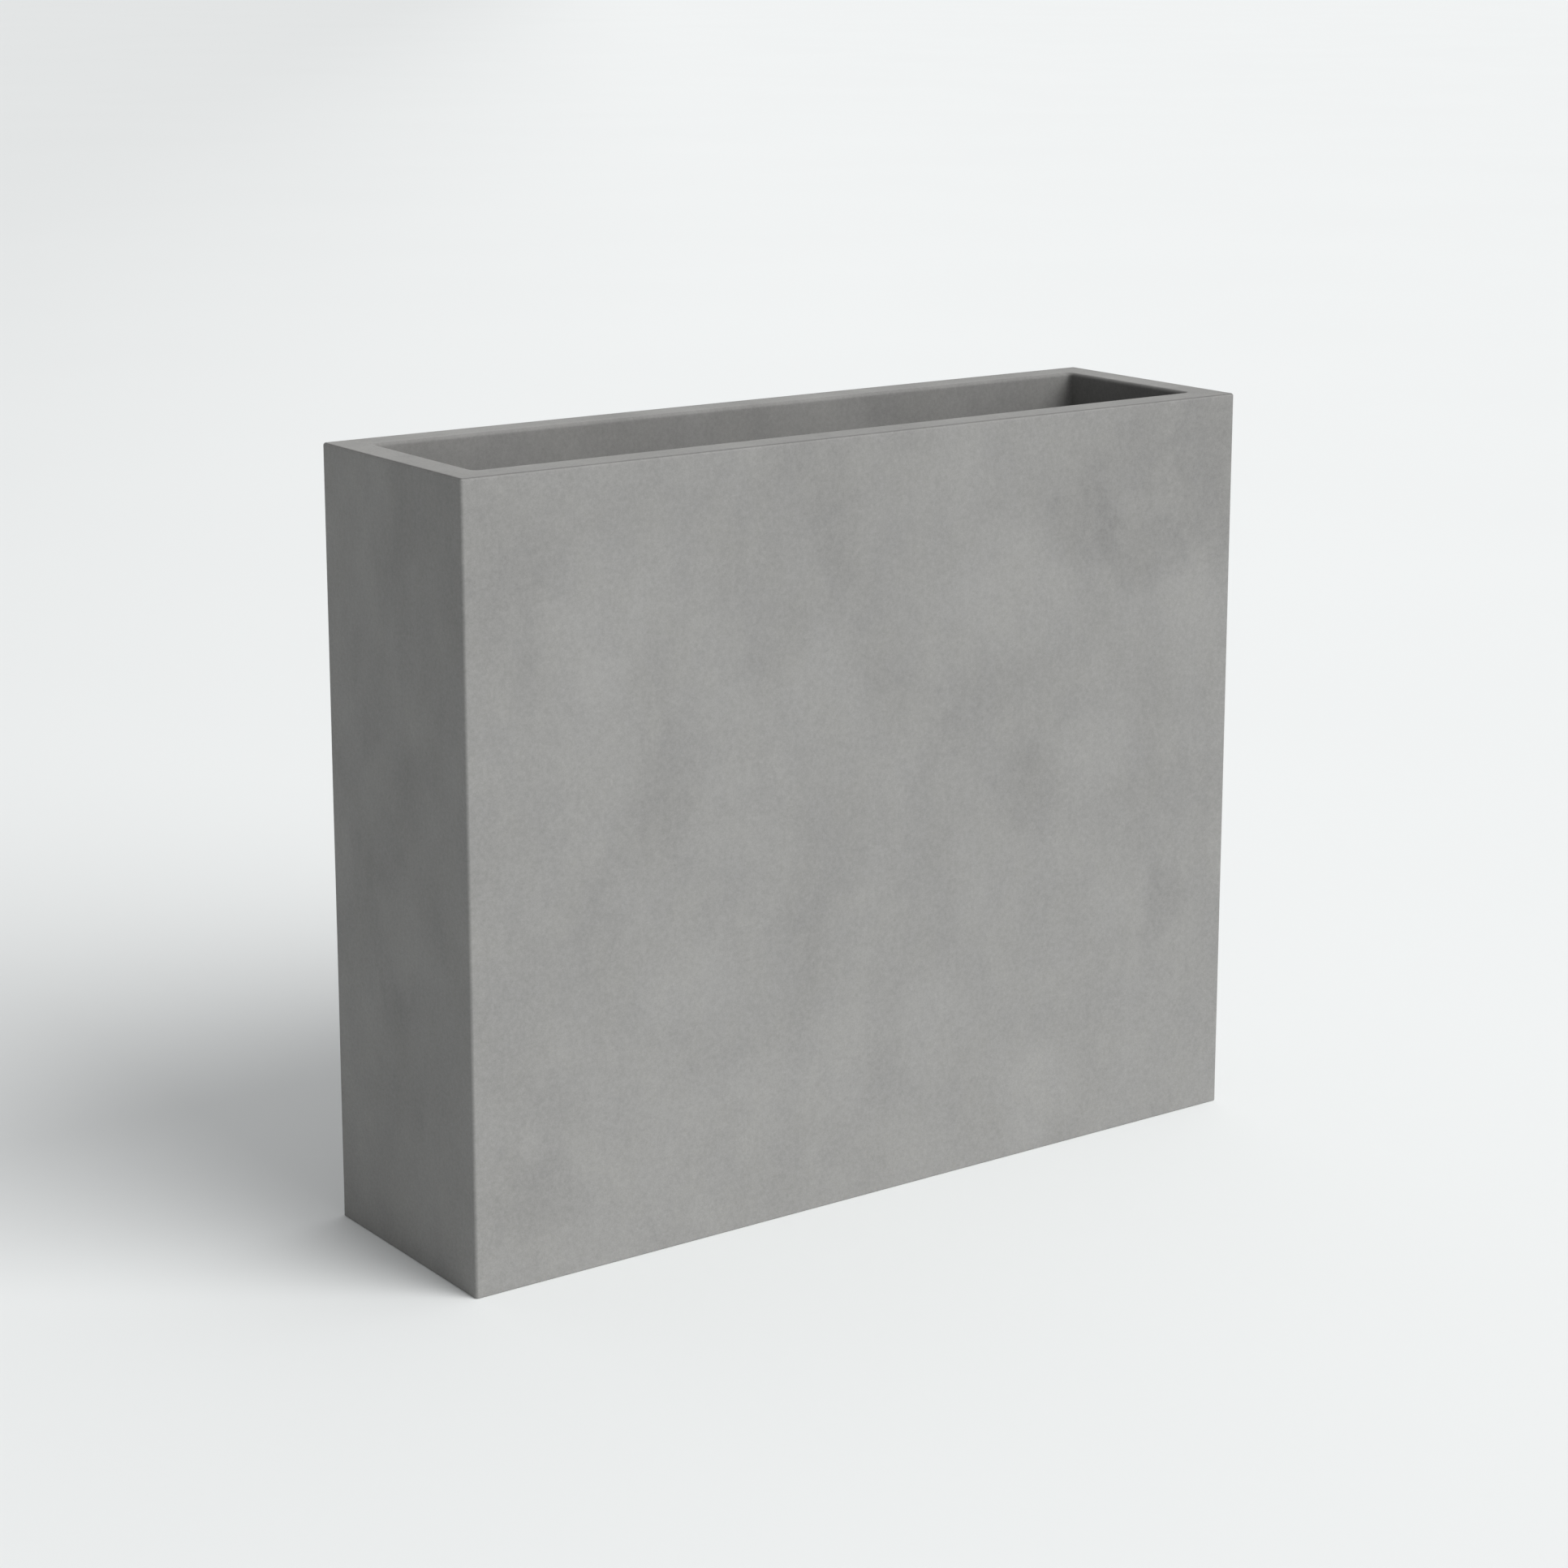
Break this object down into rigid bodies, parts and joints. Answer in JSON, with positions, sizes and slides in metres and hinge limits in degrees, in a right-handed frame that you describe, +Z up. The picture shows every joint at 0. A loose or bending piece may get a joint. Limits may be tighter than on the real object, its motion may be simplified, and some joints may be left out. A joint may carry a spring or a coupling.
{
  "type": "planter",
  "caption": "Tall narrow divider planter: smooth grey concrete trough with in-turned rim, raised floor, lift-out planting insert with folding handles, and levelling feet.",
  "frame": {"origin": "middle of the underside, on the floor", "axes": "+X along the length, +Y from the front face to the back face, +Z up"},
  "size_m": [0.9, 0.25, 0.75],
  "materials": {
    "shell": "matte",
    "inner_concrete": "matte",
    "strip_rubber": "matte",
    "sleeve_plastic": "matte",
    "socket_steel": "satin",
    "liner_plastic": "satin",
    "bracket_plastic": "satin",
    "rivet_aluminium": "satin",
    "handle_steel": "satin",
    "plug_rubber": "matte",
    "pad_plastic": "matte",
    "stud_steel": "satin"
  },
  "bodies": {
    "shell": {"shell": "shell", "ledge_battens": "inner_concrete", "deck": "inner_concrete", "deck_strips": "strip_rubber", "drain_sleeves": "sleeve_plastic", "foot_sockets": "socket_steel"},
    "liner": {"liner": "liner_plastic", "handle_brackets": "bracket_plastic", "bracket_rivets": "rivet_aluminium"},
    "handle_left": {"handle_left": "handle_steel"},
    "handle_right": {"handle_right": "handle_steel"},
    "drain_plug_left": {"drain_plug_left": "plug_rubber"},
    "drain_plug_right": {"drain_plug_right": "plug_rubber"},
    "foot_pad_front_left": {"foot_pad_front_left": "pad_plastic"},
    "foot_stud_front_left": {"foot_stud_front_left": "stud_steel"},
    "foot_pad_front_right": {"foot_pad_front_right": "pad_plastic"},
    "foot_stud_front_right": {"foot_stud_front_right": "stud_steel"},
    "foot_pad_back_left": {"foot_pad_back_left": "pad_plastic"},
    "foot_stud_back_left": {"foot_stud_back_left": "stud_steel"},
    "foot_pad_back_right": {"foot_pad_back_right": "pad_plastic"},
    "foot_stud_back_right": {"foot_stud_back_right": "stud_steel"}
  },
  "joints": [
    {"name": "liner_lift", "type": "slide", "parent": "shell", "child": "liner", "axis": [0, 0, 1], "range_m": [0, 0.34]},
    {"name": "handle_left_swing", "type": "hinge", "parent": "liner", "child": "handle_left", "pos_m": [-0.395, 0, 0.672], "axis": [0, -1, 0], "range_deg": [0, 175]},
    {"name": "handle_right_swing", "type": "hinge", "parent": "liner", "child": "handle_right", "pos_m": [0.395, 0, 0.672], "axis": [0, 1, 0], "range_deg": [0, 175]},
    {"name": "drain_plug_left_pull", "type": "slide", "parent": "liner", "child": "drain_plug_left", "axis": [0, 0, 1], "range_m": [0, 0.03]},
    {"name": "drain_plug_right_pull", "type": "slide", "parent": "liner", "child": "drain_plug_right", "axis": [0, 0, 1], "range_m": [0, 0.03]},
    {"name": "foot_front_left_drop", "type": "slide", "parent": "shell", "child": "foot_pad_front_left", "axis": [0, 0, -1], "range_m": [0, 0.015]},
    {"name": "foot_front_left_turn", "type": "hinge", "parent": "foot_pad_front_left", "child": "foot_stud_front_left", "pos_m": [-0.407, -0.082, 0.02], "axis": [0, 0, -1], "range_deg": [0, 3600]},
    {"name": "foot_front_right_drop", "type": "slide", "parent": "shell", "child": "foot_pad_front_right", "axis": [0, 0, -1], "range_m": [0, 0.015]},
    {"name": "foot_front_right_turn", "type": "hinge", "parent": "foot_pad_front_right", "child": "foot_stud_front_right", "pos_m": [0.407, -0.082, 0.02], "axis": [0, 0, -1], "range_deg": [0, 3600]},
    {"name": "foot_back_left_drop", "type": "slide", "parent": "shell", "child": "foot_pad_back_left", "axis": [0, 0, -1], "range_m": [0, 0.015]},
    {"name": "foot_back_left_turn", "type": "hinge", "parent": "foot_pad_back_left", "child": "foot_stud_back_left", "pos_m": [-0.407, 0.082, 0.02], "axis": [0, 0, -1], "range_deg": [0, 3600]},
    {"name": "foot_back_right_drop", "type": "slide", "parent": "shell", "child": "foot_pad_back_right", "axis": [0, 0, -1], "range_m": [0, 0.015]},
    {"name": "foot_back_right_turn", "type": "hinge", "parent": "foot_pad_back_right", "child": "foot_stud_back_right", "pos_m": [0.407, 0.082, 0.02], "axis": [0, 0, -1], "range_deg": [0, 3600]}
  ],
  "couplings": [
    {"joint": "foot_front_left_turn", "follows": "foot_front_left_drop", "rad_per_m": 4188.8},
    {"joint": "foot_front_right_turn", "follows": "foot_front_right_drop", "rad_per_m": 4188.8},
    {"joint": "foot_back_left_turn", "follows": "foot_back_left_drop", "rad_per_m": 4188.8},
    {"joint": "foot_back_right_turn", "follows": "foot_back_right_drop", "rad_per_m": 4188.8}
  ]
}
